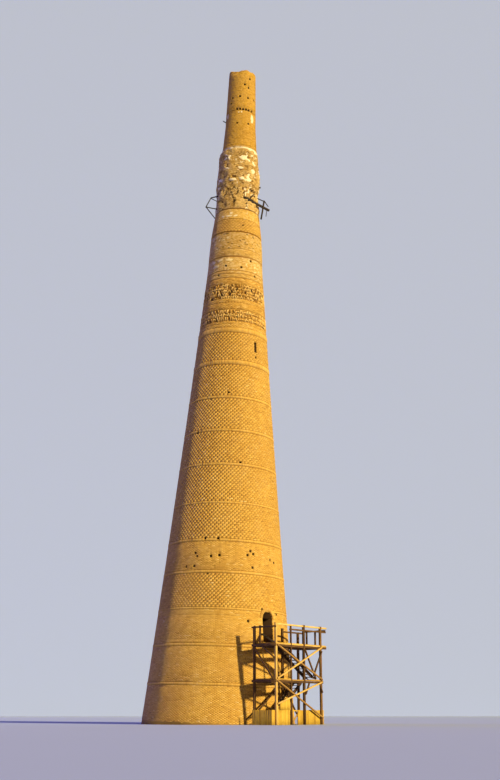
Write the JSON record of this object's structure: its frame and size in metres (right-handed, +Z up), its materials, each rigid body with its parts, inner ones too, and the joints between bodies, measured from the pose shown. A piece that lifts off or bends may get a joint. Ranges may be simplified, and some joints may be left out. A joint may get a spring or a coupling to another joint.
{
  "type": "ruined brick minaret, 1:2 scale model",
  "caption": "Tall tapering brick minaret that leans a little, with ornamental brick belts, a ruined gallery, a broken top and a wooden stair tower to its raised door; 1:2 scale model.",
  "frame": {"origin": "middle of the tower's foot, on the ground", "axes": "+Z up, +X the way the tower leans, -Y the side with most of the view; the door looks between -Y and +X"},
  "size_m": [7.3377, 7.1355, 29.9786],
  "materials": {
    "brick": "matte, weathered fired brick",
    "pale_brick": "matte, pale brick and worn plaster",
    "relief_brick": "matte, carved brick relief",
    "eroded_brick": "rough, broken brick and mortar",
    "old_timber": "weathered, dark",
    "stair_timber": "sawn, lightly weathered",
    "stair_boards": "sawn boards, lightly weathered"
  },
  "bodies": {
    "root": {"footing_drum": "brick", "base_drum": "brick", "wall_left_of_door": "brick", "wall_right_of_door": "brick", "wall_over_door": "brick", "belt_drum_1": "brick", "belt_drum_2": "brick", "belt_drum_3": "brick", "belt_drum_4": "brick", "belt_drum_5": "brick", "belt_drum_6": "brick", "wall_left_of_slit": "brick", "wall_right_of_slit": "brick", "wall_above_slit": "brick", "relief_band_lower": "relief_brick", "relief_band_upper": "relief_brick", "pale_band": "pale_brick", "plaster_band": "pale_brick", "diamond_band": "brick", "gallery_ruin_lower": "eroded_brick", "gallery_ruin_upper": "eroded_brick", "lantern_drum": "brick", "broken_top": "brick", "gallery_timbers_left": "old_timber", "gallery_timbers_right": "old_timber", "gallery_stub_right": "old_timber", "lantern_stick_left": "old_timber", "stair_front_frame": "stair_timber", "stair_upper_braces": "stair_timber", "stair_lower_braces": "stair_timber", "stair_back_frame": "stair_timber", "stair_left_end": "stair_timber", "stair_right_end": "stair_timber", "upper_deck": "stair_boards", "mid_landing": "stair_boards", "mid_boards_left": "stair_boards", "upper_flight": "stair_timber", "lower_flight": "stair_timber", "door_bridge": "stair_boards", "door_plank": "old_timber", "base_boards_front": "stair_boards", "base_boards_left": "stair_boards", "base_boards_right": "stair_boards", "side_panel": "stair_boards", "entry_plank": "stair_timber"}
  },
  "joints": []
}
